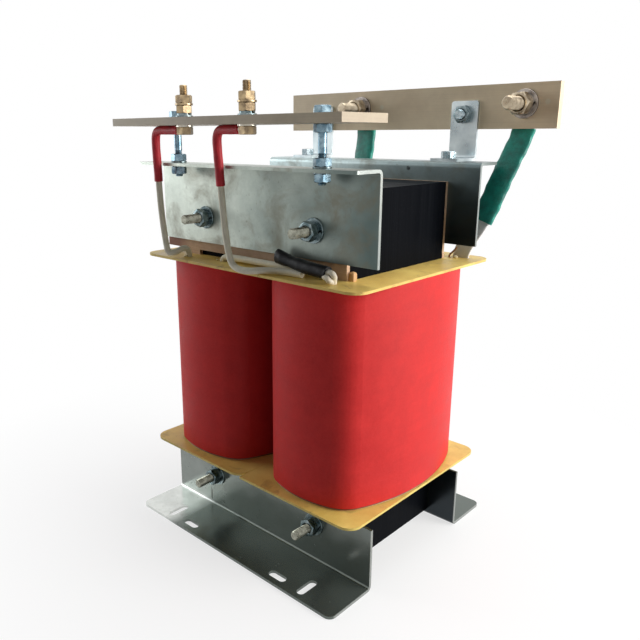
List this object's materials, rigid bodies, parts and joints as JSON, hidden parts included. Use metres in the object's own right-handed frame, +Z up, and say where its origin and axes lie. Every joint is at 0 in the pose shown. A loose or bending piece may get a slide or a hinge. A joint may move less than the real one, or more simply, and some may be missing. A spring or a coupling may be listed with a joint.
{
  "type": "dry type transformer",
  "caption": "Open dry type transformer with a two-limb black core, two round-cornered red coils, plated clamping angles with slotted feet, and front and rear terminal boards",
  "frame": {"origin": "centre of the four inner slots of the feet, on the floor", "axes": "+Z up, X along the clamping angles with the long overhang of the rear board at +X, -Y towards the horizontal terminal board at the front"},
  "size_m": [0.357, 0.2993, 0.489],
  "materials": {
    "core_lacquer": "glossy black lacquer",
    "clamp_zinc": "dull passivated zinc plate",
    "fastener_zinc": "bright zinc plate",
    "pressboard": "varnished pressboard",
    "insulating_tube": "plain paper tube",
    "coil_wrap_red": "varnished woven wrap",
    "winding_enamel": "enamelled wire packed with paper",
    "flange_laminate": "satin glass laminate",
    "board_laminate": "satin glass laminate",
    "brass": "satin brass",
    "tinned_lug": "tin plate",
    "red_sleeve": "shrunk tube",
    "green_sleeve": "shrunk tube",
    "black_sleeve": "glossy shrunk tube",
    "lead_cover": "woven lead cover"
  },
  "bodies": {
    "root": {"bottom_front_clamp": "clamp_zinc", "bottom_rear_clamp": "clamp_zinc", "bottom_yoke_stack": "core_lacquer", "bracket_board_bolts": "fastener_zinc", "bracket_foot_bolts": "fastener_zinc", "clamp_studs": "fastener_zinc", "coil_formers": "pressboard", "coil_packing_blocks": "pressboard", "front_board_bolts": "fastener_zinc", "front_left_lead": "lead_cover", "front_left_lead_sleeve": "red_sleeve", "front_right_lead": "lead_cover", "front_right_lead_sleeve": "red_sleeve", "front_terminal_board": "board_laminate", "front_terminal_bolts": "brass", "front_terminal_brass_washers": "brass", "front_terminal_lugs": "tinned_lug", "front_terminal_nuts": "brass", "front_terminal_spring_washers": "fastener_zinc", "jumper_lead": "lead_cover", "left_coil_wrap": "coil_wrap_red", "left_inner_winding": "winding_enamel", "left_limb_stack": "core_lacquer", "left_lower_coil_flange": "flange_laminate", "left_outer_winding": "winding_enamel", "left_rear_bracket": "fastener_zinc", "left_rear_conductor": "lead_cover", "left_rear_sleeve": "green_sleeve", "left_upper_coil_flange": "flange_laminate", "packing_peg": "pressboard", "rear_terminal_board": "board_laminate", "rear_terminal_bolts": "brass", "rear_terminal_flat_washers": "brass", "rear_terminal_lugs": "tinned_lug", "rear_terminal_nuts": "brass", "rear_terminal_spring_washers": "brass", "right_coil_wrap": "coil_wrap_red", "right_inner_winding": "winding_enamel", "right_limb_stack": "core_lacquer", "right_lower_coil_flange": "flange_laminate", "right_outer_winding": "winding_enamel", "right_rear_bracket": "fastener_zinc", "right_rear_conductor": "lead_cover", "right_rear_sleeve": "green_sleeve", "right_upper_coil_flange": "flange_laminate", "small_flat_washers": "fastener_zinc", "small_zinc_nuts": "fastener_zinc", "splice_sleeve": "black_sleeve", "stud_and_bracket_nuts": "fastener_zinc", "stud_flat_washers": "fastener_zinc", "stud_insulating_tubes": "insulating_tube", "stud_spring_washers": "fastener_zinc", "tap_wire_end": "winding_enamel", "top_front_clamp": "clamp_zinc", "top_front_pressboard": "pressboard", "top_rear_clamp": "clamp_zinc", "top_rear_pressboard": "pressboard", "top_yoke_stack": "core_lacquer", "winding_barriers": "pressboard", "winding_tail": "lead_cover"}
  },
  "joints": []
}
